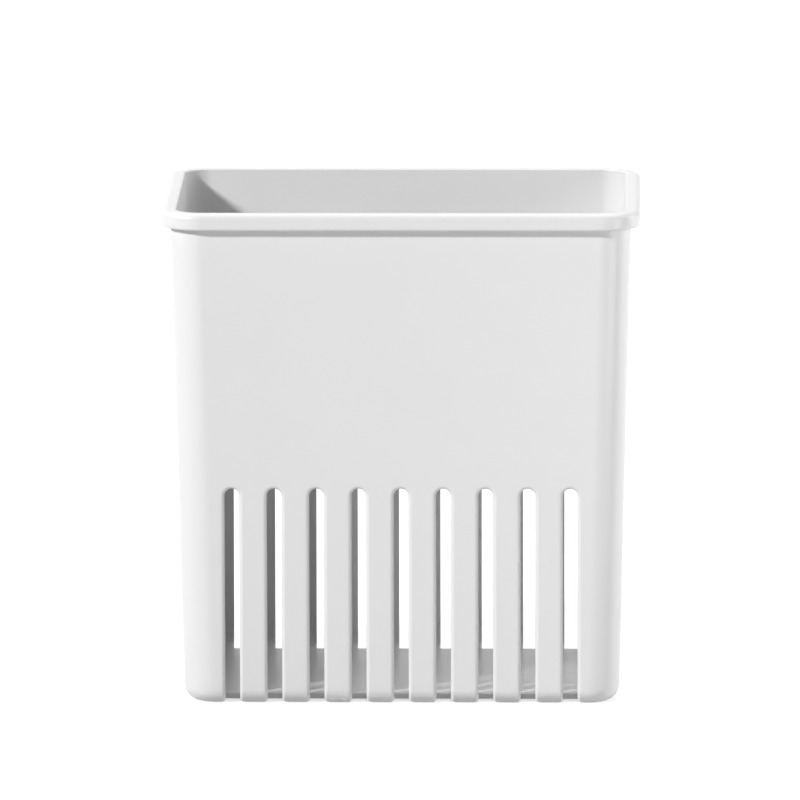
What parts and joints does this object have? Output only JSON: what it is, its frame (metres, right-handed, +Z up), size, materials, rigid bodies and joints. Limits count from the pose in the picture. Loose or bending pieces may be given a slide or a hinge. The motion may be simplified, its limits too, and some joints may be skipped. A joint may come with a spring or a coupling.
{
  "type": "chopstick holder",
  "caption": "Open-topped draining holder for chopsticks and cooking tools, with a turned-down lip, slotted walls and a lift-out divider.",
  "frame": {"origin": "middle of the footprint, on the surface that the basket stands on", "axes": "+Z up out of the mouth, -Y out of the front wall, +X to the right seen from the front"},
  "size_m": [0.1436, 0.0974, 0.15],
  "materials": {
    "basket_plastic": "satin moulded white",
    "divider_plastic": "satin moulded white"
  },
  "bodies": {
    "basket_body": {"basket": "basket_plastic"},
    "divider_body": {"divider": "divider_plastic"}
  },
  "joints": [
    {"name": "divider_lift", "type": "slide", "parent": "basket_body", "child": "divider_body", "axis": [0, 0, 1], "range_m": [0, 0.155]}
  ]
}
